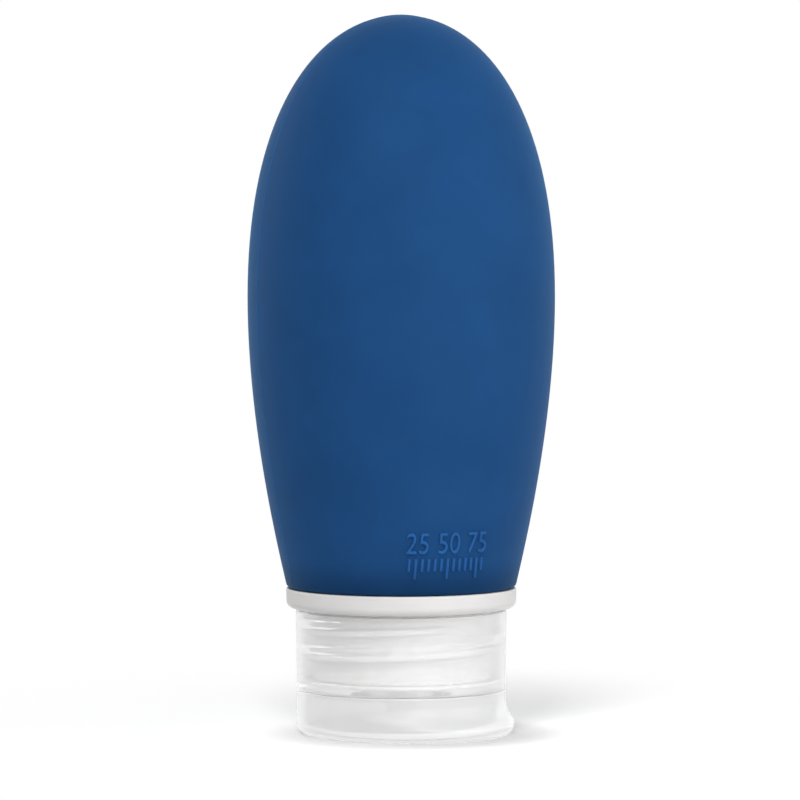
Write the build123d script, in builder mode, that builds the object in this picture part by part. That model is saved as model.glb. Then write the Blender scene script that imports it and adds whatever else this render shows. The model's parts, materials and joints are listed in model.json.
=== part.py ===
from build123d import *
from math import acos, cos, radians, sin
import os

# A soft travel bottle that stands upside down on its flip-top cap.
# Millimetres, +Z up. The origin is on the bottle's axis, on the surface that the closed lid stands on.

# How far a cut runs past the face that it opens
overrun = 1.0

# Flip lid, from the standing surface upwards
lid_height = 7.0
lid_wall = 1.2
lid_plate = 1.3
lid_corner = 1.5
lid_inset = 0.15
lid_gap = 0.1
inner_corner = 0.6

# Thumb lip, a cove that flares out of the lid's wall on one side
lip_angle = -58.0
lip_reach = 1.7
lip_thickness = 1.8
lip_cove = 5.0
lip_shift = 1.95

# Screw cap
cap_height = 12.5
cap_wall = 1.1
cap_draft = 0.12
cap_edge = 0.3
deck_thickness = 1.0
spigot_depth = 0.8
spigot_wall = 1.0
spigot_clearance = 0.3

# Outlet in the middle of the deck, and the lid's plug that closes it
outlet_radius = 2.6
nozzle_wall = 1.2
nozzle_length = 1.2
plug_clearance = 0.2
plug_wall = 0.8
plug_engagement = 1.8

# Valve pocket on the deck's inner side
valve_radius = 6.0
valve_flange = 1.0
valve_flange_width = 1.7
membrane_thickness = 0.5
membrane_rise = 1.3
slit_length = 4.2
slit_width = 0.12
membrane_root = 0.6
pocket_clearance = 0.15
pocket_wall = 1.0
snap_depth = 0.3
snap_height = 0.4
snap_gap = 0.1
retainer_height = 1.2
retainer_width = 1.6
retainer_clearance = 0.05
retainer_chamfer = 0.3

# Gasket between the deck and the neck's rim
gasket_thickness = 0.6
gasket_width = 3.8
gasket_clearance = 0.2
gasket_edge = 0.15

# Neck insert
neck_bore = 12.4
neck_wall = 1.8
rim_round = 0.5
flange_reach = 2.2
flange_thickness = 0.7
insert_height = 6.2
barb_height = 0.6
barb_start = 1.4
barb_pitch = 2.0
barb_slope = 1.8
barb_count = 2

# Thread of neck and cap, one start, right-handed
thread_pitch = 4.0
thread_height = 1.15
thread_base = 1.6
thread_crest = 0.8
thread_root_embed = 0.3
thread_clearance = 0.25
crest_clearance = 0.35
flank_gap = 0.1
neck_thread_start = 1.7
neck_thread_land = 1.5
cap_thread_land = 0.6

# Collar ring
collar_height = 3.15
collar_wall = 1.5
collar_lip = 0.8
collar_lip_width = 1.8
collar_gap = 0.3
collar_clearance = 0.3
collar_corner = 1.2
collar_edge = 0.25

# Silicone body
body_radius = 24.27
body_height = 90.25
body_wall = 2.0
body_inset = 0.1
body_gap = 0.1
body_edge = 0.8
silicone_fit = 0.05
flange_gap = 0.2
cuff_clearance = 0.2
neck_cover = 0.4
neck_flare = 1.6
widest_share = 0.508
dome_side_share = 0.70
dome_top_share = 0.50
flank_share = 0.46
foot_pull = 4.0
foot_lean = 12.0
seam_height = 0.1
seam_width = 0.4

# Hinge between cap and lid
hinge_offset = 0.3
barrel_radius = 1.1
pin_radius = 0.55
pin_clearance = 0.08
pin_recess = 0.1
knuckle_width = 3.2
knuckle_drop = 2.6
ear_width = 1.5
ear_gap = 0.2
ear_rise = 2.4
web_lean = 45.0
barrel_clearance = 0.25

# Heights of the stack, from the standing surface upwards
cap_base = lid_height + lid_gap
deck_top = cap_base + deck_thickness
rim_z = deck_top + gasket_thickness
cap_top = cap_base + cap_height
collar_base = cap_top + collar_gap
collar_top = collar_base + collar_height
flange_base = collar_base + collar_lip + flange_gap
flange_top = flange_base + flange_thickness
insert_top = flange_top + insert_height
body_base = collar_top + body_gap
body_top = body_base + body_height
widest_z = body_base + widest_share * body_height

# Radii, from the neck's bore outwards
neck_root = neck_bore + neck_wall
neck_crest = neck_root + thread_height
cap_bore = neck_crest + thread_clearance
cap_radius = cap_bore + cap_wall
lid_radius = cap_radius - lid_inset
lid_bore = lid_radius - lid_wall
flange_radius = neck_root + flange_reach
collar_bore = flange_radius + collar_clearance
collar_radius = collar_bore + collar_wall
cuff_radius = collar_bore - cuff_clearance
mouth_radius = collar_radius - body_inset

# Threads: the cap's ridge starts one flank above the neck's, and each runs up to its own plain land
neck_thread_z = rim_z + neck_thread_start
cap_thread_z = neck_thread_z + (thread_base + thread_crest) / 2 + flank_gap
neck_thread_rise = collar_base - neck_thread_land - thread_base / 2 - neck_thread_z
cap_thread_rise = cap_top - cap_thread_land - thread_base / 2 - cap_thread_z
cap_thread_height = cap_bore - neck_root - crest_clearance

# Directions and planes of the cap: the lip points along lip_direction and the hinge is opposite
lip_direction = Vector(cos(radians(lip_angle)), sin(radians(lip_angle)), 0)
cap_section = Plane(origin=(0, 0, 0), x_dir=lip_direction, z_dir=lip_direction.cross(Vector(0, 0, 1)))
hinge_reach = cap_radius + hinge_offset
hinge_z = (lid_height + cap_base) / 2
hinge_origin = lip_direction * -hinge_reach + Vector(0, 0, hinge_z)
hinge_plane = Plane(origin=hinge_origin, x_dir=cap_section.x_dir, z_dir=cap_section.z_dir)
ear_start = knuckle_width / 2 + ear_gap
ear_end = ear_start + ear_width
web_angle = radians(web_lean)


def half_outline(outset):
    """The silicone body's outline on one side of the axis, grown by outset, from its foot to the top."""
    side = body_radius + outset
    foot = mouth_radius + outset
    top = body_top + outset
    lean = radians(foot_lean)
    foot_control = (foot + foot_pull * sin(lean), body_base + foot_pull * cos(lean))
    flank_control = (side, widest_z - flank_share * (widest_z - body_base))
    Bezier((foot, body_base), foot_control, flank_control, (side, widest_z))
    dome_control = (side, widest_z + dome_side_share * (top - widest_z))
    Bezier((side, widest_z), dome_control, (dome_top_share * side, top), (0, top))
    Polyline((0, top), (0, body_base), (foot, body_base))


def barb_outline(root, tip):
    """Points up the barbed end from the flange's top. Each barb is square below and slopes above."""
    points = [(root, flange_top)]
    for barb in range(barb_count):
        foot = flange_top + barb_start + barb * barb_pitch
        points += [(root, foot), (tip, foot), (root, foot + barb_slope)]
    return points


def thread_ridge(radius, start_z, rise, height, embed):
    """A helical ridge on a cylinder. Height and embed are negative for a ridge that stands inwards."""
    with BuildPart(mode=Mode.PRIVATE) as ridge:
        with BuildLine() as path:
            Helix(pitch=thread_pitch, height=rise, radius=radius, center=(0, 0, start_z))
        section = Plane(origin=path.line @ 0, x_dir=(1, 0, 0), z_dir=path.line % 0)
        with BuildSketch(section):
            with BuildLine():
                Polyline(
                    (-embed, -thread_base / 2),
                    (0, -thread_base / 2),
                    (height, -thread_crest / 2),
                    (height, thread_crest / 2),
                    (0, thread_base / 2),
                    (-embed, thread_base / 2),
                    close=True,
                )
            make_face()
        sweep(path=path.line, is_frenet=True)
    return ridge.part


# Silicone bottle: shell, thick neck, cuff and the mould's parting ridge
shoulder_radius = mouth_radius - body_wall / 2 + neck_flare
silicone_bore = neck_root + silicone_fit
bore_top = insert_top + neck_cover
with BuildPart() as bottle_body:
    with BuildSketch(Plane.XZ):
        with BuildLine():
            half_outline(0)
        make_face()
        with BuildLine():
            half_outline(-body_wall)
        make_face(mode=Mode.SUBTRACT)
        with BuildLine():
            Polyline(
                *barb_outline(silicone_bore, silicone_bore + barb_height),
                (silicone_bore, bore_top),
                (shoulder_radius, bore_top + shoulder_radius - silicone_bore),
                (mouth_radius - body_wall / 2, body_base),
                (cuff_radius, body_base),
                (cuff_radius, flange_top),
                close=True,
            )
        make_face()
    revolve(axis=Axis.Z)
    body_circles = bottle_body.edges().filter_by(GeomType.CIRCLE)
    foot_edges = body_circles.filter_by_position(Axis.Z, body_base, body_base)
    fillet(foot_edges.sort_by(SortBy.RADIUS)[-1], radius=body_edge)
    with BuildSketch(Plane.XZ):
        with BuildLine():
            half_outline(seam_height)
        make_face()
        with BuildLine():
            half_outline(-body_wall / 2)
        make_face(mode=Mode.SUBTRACT)
        with Locations((0, body_base)):
            Rectangle(2 * (mouth_radius + overrun), 2 * body_edge, mode=Mode.SUBTRACT)
        mirror(about=Plane.YZ)
    extrude(amount=seam_width / 2, both=True)
bottle_body.part.label = "bottle_body"

# Neck insert: threaded tube, flange and barbed end
with BuildPart() as neck_insert:
    with BuildSketch(Plane.XZ):
        with BuildLine():
            Polyline(
                (neck_bore, rim_z),
                (neck_root, rim_z),
                (neck_root, flange_base),
                (flange_radius, flange_base),
                (flange_radius, flange_top),
                *barb_outline(neck_root, neck_root + barb_height),
                (neck_root, insert_top),
                (neck_bore, insert_top),
                close=True,
            )
        make_face()
    revolve(axis=Axis.Z)
    rim_edges = neck_insert.edges().filter_by(GeomType.CIRCLE).filter_by_position(Axis.Z, rim_z, rim_z)
    fillet(rim_edges, radius=rim_round)
    add(thread_ridge(neck_root, neck_thread_z, neck_thread_rise, thread_height, thread_root_embed))
neck_insert.part.label = "neck_insert"

# Collar ring: a plain band with a lip that is trapped between the flange and the thread
with BuildPart() as collar_ring:
    with BuildSketch(Plane.XZ):
        with BuildLine():
            Polyline(
                (collar_bore - collar_lip_width, collar_base),
                (collar_radius, collar_base),
                (collar_radius, collar_top),
                (collar_bore, collar_top),
                (collar_bore, collar_base + collar_lip),
                (collar_bore - collar_lip_width, collar_base + collar_lip),
                close=True,
            )
        make_face()
    revolve(axis=Axis.Z)
    bottom_edges = collar_ring.edges().filter_by(GeomType.CIRCLE).group_by(Axis.Z)[0]
    fillet(bottom_edges.sort_by(SortBy.RADIUS)[-1], radius=collar_corner)
    top_edges = collar_ring.edges().filter_by(GeomType.CIRCLE).group_by(Axis.Z)[-1]
    fillet(top_edges.sort_by(SortBy.RADIUS)[-1], radius=collar_edge)
collar_ring.part.label = "collar_ring"

# Screw cap: deck, skirt, outlet, valve pocket, thread and hinge ears
nozzle_radius = outlet_radius + nozzle_wall
spigot_radius = lid_bore - spigot_clearance
pocket_radius = valve_radius + pocket_clearance
snap_base = deck_top + valve_flange + retainer_height + snap_gap
snap_top = snap_base + snap_height
with BuildPart() as screw_cap:
    with BuildSketch(Plane.XZ):
        with BuildLine():
            Polyline(
                (outlet_radius, cap_base - nozzle_length),
                (nozzle_radius, cap_base - nozzle_length),
                (nozzle_radius, cap_base),
                (spigot_radius - spigot_wall, cap_base),
                (spigot_radius - spigot_wall, cap_base - spigot_depth),
                (spigot_radius, cap_base - spigot_depth),
                (spigot_radius, cap_base),
                (cap_radius - cap_draft, cap_base),
                (cap_radius, cap_top),
                (cap_bore, cap_top),
                (cap_bore, deck_top),
                (pocket_radius + pocket_wall, deck_top),
                (pocket_radius + pocket_wall, snap_top),
                (pocket_radius, snap_top),
                (pocket_radius - snap_depth, snap_top - snap_height / 2),
                (pocket_radius, snap_base),
                (pocket_radius, deck_top),
                (outlet_radius, deck_top),
                close=True,
            )
        make_face()
    revolve(axis=Axis.Z)
    skirt_edges = screw_cap.edges().filter_by(GeomType.CIRCLE).filter_by_position(Axis.Z, cap_top, cap_top)
    fillet(skirt_edges, radius=cap_edge)
    add(thread_ridge(cap_bore, cap_thread_z, cap_thread_rise, -cap_thread_height, -thread_root_embed))
    with BuildSketch(hinge_plane):
        Circle(barrel_radius + barrel_clearance)
    extrude(amount=ear_start, both=True, mode=Mode.SUBTRACT)
    ear_root = hinge_offset + cap_wall / 2
    with BuildSketch(hinge_plane.offset(ear_start), hinge_plane.offset(-ear_end)):
        Circle(barrel_radius)
        with BuildLine():
            Polyline(
                (-barrel_radius * cos(web_angle), barrel_radius * sin(web_angle)),
                (ear_root, ear_rise),
                (ear_root, 0),
                (0, 0),
                close=True,
            )
        make_face()
    extrude(amount=ear_width)
    with BuildSketch(hinge_plane):
        Circle(pin_radius + pin_clearance)
    extrude(amount=ear_end + overrun, both=True, mode=Mode.SUBTRACT)
screw_cap.part.label = "screw_cap"

# Gasket: a flat silicone washer under the neck's rim
with BuildPart() as cap_gasket:
    with BuildSketch(Plane.XY.offset(deck_top)):
        Circle(cap_bore - gasket_clearance)
        Circle(cap_bore - gasket_clearance - gasket_width, mode=Mode.SUBTRACT)
    extrude(amount=gasket_thickness)
    chamfer(cap_gasket.edges().filter_by(GeomType.CIRCLE), length=gasket_edge)
cap_gasket.part.label = "cap_gasket"

# Drip valve: a flange and a thin domed membrane with a cross slit
membrane_radius = valve_radius - valve_flange_width
membrane_edge = membrane_radius + membrane_root
membrane_base = deck_top + (valve_flange - membrane_thickness) / 2
membrane_top = membrane_base + membrane_thickness
with BuildPart() as drip_valve:
    with BuildSketch(Plane.XZ):
        with BuildLine():
            ThreePointArc(
                (-membrane_edge, membrane_base),
                (0, membrane_base + membrane_rise),
                (membrane_edge, membrane_base),
            )
            Line((membrane_edge, membrane_base), (membrane_edge, membrane_top))
            ThreePointArc(
                (membrane_edge, membrane_top),
                (0, membrane_top + membrane_rise),
                (-membrane_edge, membrane_top),
            )
            Line((-membrane_edge, membrane_top), (-membrane_edge, membrane_base))
        make_face()
        with Locations((0, deck_top)):
            Rectangle(
                membrane_edge,
                2 * (valve_flange + membrane_rise),
                align=(Align.MAX, Align.CENTER),
                mode=Mode.SUBTRACT,
            )
        with Locations((membrane_radius, deck_top)):
            Rectangle(valve_flange_width, valve_flange, align=(Align.MIN, Align.MIN))
    revolve(axis=Axis.Z)
    with BuildSketch(Plane.XY.offset(deck_top)):
        Rectangle(slit_length, slit_width)
        Rectangle(slit_width, slit_length)
    extrude(amount=valve_flange + membrane_rise, mode=Mode.SUBTRACT)
drip_valve.part.label = "drip_valve"

# Valve retainer: a ring snapped into the pocket over the valve's flange
with BuildPart() as valve_retainer:
    with BuildSketch(Plane.XY.offset(deck_top + valve_flange)):
        Circle(pocket_radius - retainer_clearance)
        Circle(pocket_radius - retainer_clearance - retainer_width, mode=Mode.SUBTRACT)
    extrude(amount=retainer_height)
    chamfer(valve_retainer.edges().group_by(Axis.Z)[-1], length=retainer_chamfer)
valve_retainer.part.label = "valve_retainer"

# Flip lid: shallow cup with a flared thumb lip, a plug for the outlet, a knuckle and two trunnions
cove_angle = acos(1 - lip_reach / lip_cove)
half_cove = cove_angle / 2
cove_top = lip_thickness + lip_cove * sin(cove_angle)
lip_edge = lid_radius + lip_reach
plug_radius = outlet_radius - plug_clearance
plug_top = cap_base - nozzle_length + plug_engagement
with BuildPart() as flip_lid:
    with BuildSketch(Plane(origin=(0, 0, 0), x_dir=lip_direction, z_dir=(0, 0, 1))):
        Circle(lid_radius)
        with Locations((lip_shift, 0)):
            Circle(lip_edge - lip_shift)
    extrude(amount=lid_height)
    fillet(flip_lid.edges().group_by(Axis.Z)[0], radius=lid_corner)
    with BuildSketch(cap_section):
        with BuildLine():
            Line((lid_radius, lid_height + overrun), (lid_radius, cove_top))
            ThreePointArc(
                (lid_radius, cove_top),
                (lid_radius + lip_cove * (1 - cos(half_cove)), cove_top - lip_cove * sin(half_cove)),
                (lip_edge, lip_thickness),
            )
            Polyline(
                (lip_edge, lip_thickness),
                (lip_edge + overrun, lip_thickness),
                (lip_edge + overrun, lid_height + overrun),
                (lid_radius, lid_height + overrun),
            )
        make_face()
    revolve(axis=Axis.Z, mode=Mode.SUBTRACT)
    with BuildSketch(Plane.XY.offset(lid_plate)):
        Circle(lid_bore)
    extrude(amount=lid_height, mode=Mode.SUBTRACT)
    lid_circles = flip_lid.edges().filter_by(GeomType.CIRCLE)
    fillet(lid_circles.filter_by_position(Axis.Z, lid_plate, lid_plate), radius=inner_corner)
    with BuildSketch(Plane.XY.offset(lid_plate)):
        Circle(plug_radius)
        Circle(plug_radius - plug_wall, mode=Mode.SUBTRACT)
    extrude(amount=plug_top - lid_plate)
    with BuildSketch(hinge_plane):
        Circle(barrel_radius + barrel_clearance)
    extrude(amount=ear_end + ear_gap, both=True, mode=Mode.SUBTRACT)
    knuckle_root = hinge_reach - lid_radius + lid_wall / 2
    with BuildSketch(hinge_plane):
        Circle(barrel_radius)
        with BuildLine():
            Polyline(
                (-barrel_radius * cos(web_angle), -barrel_radius * sin(web_angle)),
                (knuckle_root, -knuckle_drop),
                (knuckle_root, -lid_gap / 2),
                (0, -lid_gap / 2),
                close=True,
            )
        make_face()
    extrude(amount=knuckle_width / 2, both=True)
    with BuildSketch(hinge_plane):
        Circle(pin_radius)
    extrude(amount=ear_end - pin_recess, both=True)
flip_lid.part.label = "flip_lid"

pieces = [
    bottle_body,
    neck_insert,
    collar_ring,
    screw_cap,
    cap_gasket,
    drip_valve,
    valve_retainer,
    flip_lid,
]
os.makedirs("parts", exist_ok=True)
for piece in pieces:
    export_step(piece.part, f"parts/{piece.part.label}.step")
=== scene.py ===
"""A soft travel bottle that stands on its clear flip-top cap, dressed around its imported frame."""

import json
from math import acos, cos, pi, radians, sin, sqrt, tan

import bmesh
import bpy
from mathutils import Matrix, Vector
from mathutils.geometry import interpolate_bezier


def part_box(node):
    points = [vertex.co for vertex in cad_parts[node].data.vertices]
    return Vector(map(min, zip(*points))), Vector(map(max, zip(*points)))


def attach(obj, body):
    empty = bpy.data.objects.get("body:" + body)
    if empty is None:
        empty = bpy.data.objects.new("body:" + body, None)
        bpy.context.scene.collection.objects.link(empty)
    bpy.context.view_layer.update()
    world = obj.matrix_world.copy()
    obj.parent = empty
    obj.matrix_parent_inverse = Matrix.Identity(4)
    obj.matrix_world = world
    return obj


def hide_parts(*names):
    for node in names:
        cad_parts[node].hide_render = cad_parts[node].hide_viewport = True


bl_info = {
    "name": "Travel Silicone Bottle",
    "version": (1, 0, 0),
    "blender": (4, 5, 0),
    "location": "View3D > Sidebar > Bottle",
    "description": "Makes a soft travel bottle, its cap, neck and seals, and a plain studio around them",
    "category": "Add Mesh",
}

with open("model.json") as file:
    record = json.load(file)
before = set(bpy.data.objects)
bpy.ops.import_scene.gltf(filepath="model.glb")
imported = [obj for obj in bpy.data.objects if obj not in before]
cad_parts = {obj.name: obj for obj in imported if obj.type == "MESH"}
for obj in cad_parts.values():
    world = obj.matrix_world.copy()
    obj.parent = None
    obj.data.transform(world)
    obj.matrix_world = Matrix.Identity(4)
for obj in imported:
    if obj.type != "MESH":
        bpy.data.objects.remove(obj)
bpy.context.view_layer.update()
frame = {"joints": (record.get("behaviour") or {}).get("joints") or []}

MM = 0.001
BODY_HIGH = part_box("bottle_body")[1]
NECK_LOW, NECK_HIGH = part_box("neck_insert")
COLLAR_LOW, COLLAR_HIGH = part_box("collar_ring")
CAP_LOW, CAP_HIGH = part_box("screw_cap")
GASKET_LOW, GASKET_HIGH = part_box("cap_gasket")
VALVE_LOW, VALVE_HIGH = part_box("drip_valve")
RETAINER_LOW, RETAINER_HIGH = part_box("valve_retainer")

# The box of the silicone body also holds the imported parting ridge, which stands this far out of its top
PACKED_RIDGE = 0.1 * MM

# The lid turns on this axis, and its thumb lip is on the far side of the bottle from it
HINGE = next(joint for joint in frame["joints"] if joint["name"] == "lid_hinge")
HINGE_ORIGIN = Vector(HINGE["pos_m"])
HINGE_AXIS = Vector(HINGE["axis"])
HINGE_REACH = HINGE_ORIGIN.xy.length
LIP_DIRECTION = Vector((-HINGE_ORIGIN.x, -HINGE_ORIGIN.y, 0)).normalized()

# How finely the meshes are drawn
TURN_COLUMNS = 192
CORNER_STEPS = 4
CURVE_STEPS = 40
CIRCLE_STEPS = 24
LIP_ROWS = 32
DOME_STEPS = 10
MARK_VOXEL = 0.09 * MM
WELD = 0.0002 * MM

# Thin raised pieces are coloured this many times as light as the silicone, a painted highlight for the light
# their edges catch
PAINTED_HIGHLIGHT = 1.7


def linear(hex_colour):
    """An sRGB hex colour as linear red, green, blue and a full alpha."""
    channels = [int(hex_colour[i : i + 2], 16) / 255 for i in (1, 3, 5)]
    return [c / 12.92 if c <= 0.04045 else ((c + 0.055) / 1.055) ** 2.4 for c in channels] + [1.0]


def mm(name, description, default):
    """A setting for a length, with its default in millimetres."""
    return bpy.props.FloatProperty(name=name, description=description, default=default * MM, unit="LENGTH")


def degrees(name, description, default):
    """A setting for an angle, with its default in degrees."""
    return bpy.props.FloatProperty(
        name=name, description=description, default=radians(default), unit="ROTATION"
    )


def watts(name, description, default):
    """A setting for a lamp's power."""
    return bpy.props.FloatProperty(name=name, description=description, default=default, unit="POWER")


def fraction(name, description, default):
    """A setting for a share, from none to all."""
    return bpy.props.FloatProperty(
        name=name, description=description, default=default, subtype="FACTOR", min=0, max=1
    )


def tint(name, description, default):
    """A setting for a colour, with its default as sRGB hex."""
    return bpy.props.FloatVectorProperty(
        name=name, description=description, default=linear(default), subtype="COLOR", size=4, min=0, max=1
    )


class BottleSettings(bpy.types.PropertyGroup):
    """The silicone bottle, its parting line and its raised mark."""

    radius: mm("Radius", "Radius of the silicone body where it is widest", BODY_HIGH.y / MM)
    wall: mm("Wall", "Thickness of the silicone wall", 2.0)
    mouth_inset: mm("Mouth inset", "How far the foot of the body stands in from the collar ring", 0.1)
    foot_gap: mm("Foot gap", "Gap between the body's foot and the collar ring", 0.1)
    foot_edge: mm("Foot edge", "Rounding of the body's foot", 0.8)
    foot_pull: mm("Foot pull", "How far up from the foot the flank keeps its first direction", 4.0)
    foot_lean: degrees("Foot lean", "How far the flank leans outwards at the foot", 12)
    widest_share: fraction("Widest place", "Share of the body's height at which it is widest", 0.508)
    flank_share: fraction("Flank fullness", "Share of the flank's height that runs nearly upright", 0.46)
    dome_side_share: fraction("Dome side", "Share of the dome's height that runs nearly upright", 0.70)
    dome_top_share: fraction("Dome top", "Share of the radius where the dome runs nearly level", 0.50)
    fit: mm("Neck fit", "Gap between the silicone and the barbed neck", 0.05)
    cuff_gap: mm("Cuff gap", "Gap between the silicone's cuff and the collar ring around it", 0.2)
    neck_cover: mm("Neck cover", "How far the thick silicone neck runs past the end of the insert", 0.4)
    seam_height: mm("Parting line height", "How far the mould's parting line stands proud", 0.07)
    seam_width: mm("Parting line width", "Width of the mould's parting line", 0.36)
    # Height over which painted shade darkens the silicone towards its foot
    foot_shade_height: mm("Foot fade", "Height over which the thick neck darkens the silicone", 6.0)
    numerals: bpy.props.StringProperty(
        name="Numerals", description="Row of two-figure numerals with spaces between", default="25 50 75"
    )
    mark_angle: degrees("Mark angle", "Direction that the raised mark faces, from +X", -90.3)
    mark_rise: mm("Mark rise", "Height of the mark's middle above the body's foot", 6.3)
    mark_width: mm("Mark width", "Width of the row of numerals, along the surface", 13.5)
    mark_height: mm("Numeral height", "Height of the numerals", 3.3)
    tick_height: mm("Tick height", "Height of the short graduation ticks", 2.0)
    tick_width: mm("Tick width", "Width of the graduation ticks", 0.42)
    tick_count: bpy.props.IntProperty(
        name="Tick steps", description="Steps from one numeral's tick to the next", default=5, min=1
    )
    mark_relief: mm("Mark relief", "How far the mark stands out of the surface", 0.3)
    colour: tint("Silicone colour", "Colour of the pigmented silicone", "#224E83")


class ThreadSettings(bpy.types.PropertyGroup):
    """The coarse one-start thread that the neck and the cap share."""

    pitch: mm("Pitch", "Rise of the thread in one turn", 4.0)
    height: mm("Neck ridge height", "How far the neck's ridge stands out", 1.15)
    base: mm("Ridge base", "Width of the ridge at its root", 1.6)
    crest: mm("Ridge crest", "Width of the ridge at its crest", 0.8)
    edge: mm("Ridge rounding", "Rounding of the ridge's corners", 0.16)
    clearance: mm("Clearance", "Gap between the neck's crest and the cap's bore", 0.25)
    crest_gap: mm("Crest gap", "Gap between the cap's crest and the neck's wall", 0.35)
    flank_gap: mm("Flank gap", "Gap between the flanks of the two ridges", 0.1)
    start: mm("Start", "Height of the neck's ridge above the rim where it starts", 1.7)
    neck_land: mm("Neck land", "Plain stretch between the neck's ridge and the collar ring", 1.5)
    cap_land: mm("Cap land", "Plain stretch between the cap's ridge and its open edge", 0.6)
    fade: fraction("Run-out", "Share of a turn over which each end of a ridge dies away", 0.07)


class NeckSettings(bpy.types.PropertyGroup):
    """The threaded neck insert and the collar ring around its flange."""

    bore: mm("Bore", "Radius of the neck's bore", 12.4)
    wall: mm("Wall", "Thickness of the neck's wall", 1.8)
    rim_round: mm("Rim rounding", "Rounding of the rim that seals on the gasket", 0.5)
    edge: mm("Edge rounding", "Rounding of the neck's other edges", 0.15)
    flange_thickness: mm("Flange", "Thickness of the flange that traps the collar ring", 0.7)
    insert_height: mm("Barbed end", "Length of the barbed end inside the silicone", 6.2)
    barb_height: mm("Barb height", "How far a barb stands out", 0.6)
    barb_start: mm("First barb", "Distance from the flange to the first barb", 1.4)
    barb_pitch: mm("Barb pitch", "Distance between barbs", 2.0)
    barb_slope: mm("Barb slope", "Height over which a barb slopes away", 1.8)
    barb_count: bpy.props.IntProperty(name="Barbs", description="Number of barbs", default=2, min=0)
    collar_lip: mm("Collar lip", "Thickness of the collar ring's inner lip", 0.8)
    collar_lip_width: mm("Collar lip width", "How far the collar ring's lip reaches inwards", 1.8)
    collar_wall: mm("Collar wall", "Thickness of the collar ring's band", 1.5)
    collar_corner: mm("Collar corner", "Rounding of the collar ring's lower edge", 1.2)
    collar_edge: mm("Collar edge", "Rounding of the collar ring's upper edge", 0.25)
    colour: tint("Neck colour", "Colour of the neck insert and the valve retainer", "#E6E5E4")
    collar_colour: tint("Collar colour", "Colour of the collar ring", "#EFEDEC")


class CapSettings(bpy.types.PropertyGroup):
    """The clear screw cap."""

    wall: mm("Wall", "Thickness of the cap's skirt", 1.1)
    draft: mm("Draft", "How much the skirt narrows towards the deck", 0.12)
    edge: mm("Edge rounding", "Rounding of the skirt's open edge", 0.3)
    fine_edge: mm("Fine rounding", "Rounding of the cap's smaller edges", 0.15)
    deck: mm("Deck", "Thickness of the deck that closes the cap", 1.0)
    spigot_depth: mm("Spigot depth", "How far the deck's ring reaches into the lid", 0.8)
    spigot_wall: mm("Spigot wall", "Thickness of the deck's ring", 1.0)
    spigot_clearance: mm("Spigot clearance", "Gap between the deck's ring and the lid's wall", 0.3)
    outlet_radius: mm("Outlet", "Radius of the outlet", 2.6)
    nozzle_wall: mm("Nozzle wall", "Thickness of the nozzle around the outlet", 1.2)
    nozzle_length: mm("Nozzle length", "How far the nozzle stands out of the deck", 1.2)
    pocket_clearance: mm("Pocket clearance", "Gap around the valve in its pocket", 0.15)
    pocket_wall: mm("Pocket wall", "Thickness of the wall around the valve", 1.0)
    snap_depth: mm("Snap depth", "How far the snap bead stands over the retainer", 0.3)
    snap_height: mm("Snap height", "Height of the snap bead", 0.4)
    snap_gap: mm("Snap gap", "Gap between the retainer and the snap bead", 0.1)
    colour: tint("Clear colour", "Tint of the clear plastic", "#FBFBFC")
    milk_colour: tint("Milk colour", "Colour of what the clear plastic scatters", "#E8E8E8")
    milk: fraction("Milkiness", "Share of the light that the clear plastic scatters as it enters", 0.42)
    lamp_share: fraction("Lamp share", "Share of a lamp's light that passes each clear surface", 0.68)


class LidSettings(bpy.types.PropertyGroup):
    """The clear flip lid and its hinge."""

    gap: mm("Split gap", "Gap between the closed lid and the cap", 0.1)
    inset: mm("Inset", "How far the lid's wall stands in from the cap's", 0.15)
    wall: mm("Wall", "Thickness of the lid's wall", 1.2)
    plate: mm("Plate", "Thickness of the flat that the bottle stands on", 1.3)
    corner: mm("Outer corner", "Rounding of the lid's outer corner", 1.5)
    inner_corner: mm("Inner corner", "Rounding of the lid's inner corner", 0.6)
    edge: mm("Edge rounding", "Rounding of the lid's fine edges", 0.2)
    lip_reach: mm("Lip reach", "How far the thumb lip stands out of the wall", 1.7)
    lip_thickness: mm("Lip thickness", "Height of the thumb lip's edge", 1.8)
    lip_cove: mm("Lip cove", "Radius of the hollow curve between the wall and the lip", 5.0)
    lip_shift: mm("Lip shift", "How far off the axis the lip's edge has its centre", 1.95)
    lip_edge: mm("Lip edge", "Width over which the cove blends into the lip's edge", 0.35)
    plug_clearance: mm("Plug clearance", "Gap between the plug and the outlet", 0.2)
    plug_wall: mm("Plug wall", "Thickness of the hollow plug", 0.8)
    plug_engagement: mm("Plug engagement", "How far the plug reaches into the outlet", 1.8)
    barrel_radius: mm("Hinge barrel", "Radius of the hinge's knuckle and ears", 1.1)
    barrel_clearance: mm("Barrel clearance", "Gap around the hinge's barrels", 0.25)
    pin_radius: mm("Trunnion", "Radius of the trunnions", 0.55)
    pin_clearance: mm("Trunnion clearance", "Gap around the trunnions", 0.08)
    pin_recess: mm("Trunnion recess", "How far the trunnions end inside the ears", 0.1)
    knuckle_width: mm("Knuckle width", "Width of the lid's knuckle", 3.2)
    knuckle_drop: mm("Knuckle drop", "How far down the wall the knuckle's web reaches", 2.6)
    ear_width: mm("Ear width", "Width of each hinge ear", 1.5)
    ear_gap: mm("Ear gap", "Gap between the knuckle and an ear", 0.2)
    ear_rise: mm("Ear rise", "How far up the wall an ear's web reaches", 2.4)
    web_angle: degrees("Web angle", "Place on the barrel where its web leaves it", 45)


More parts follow.
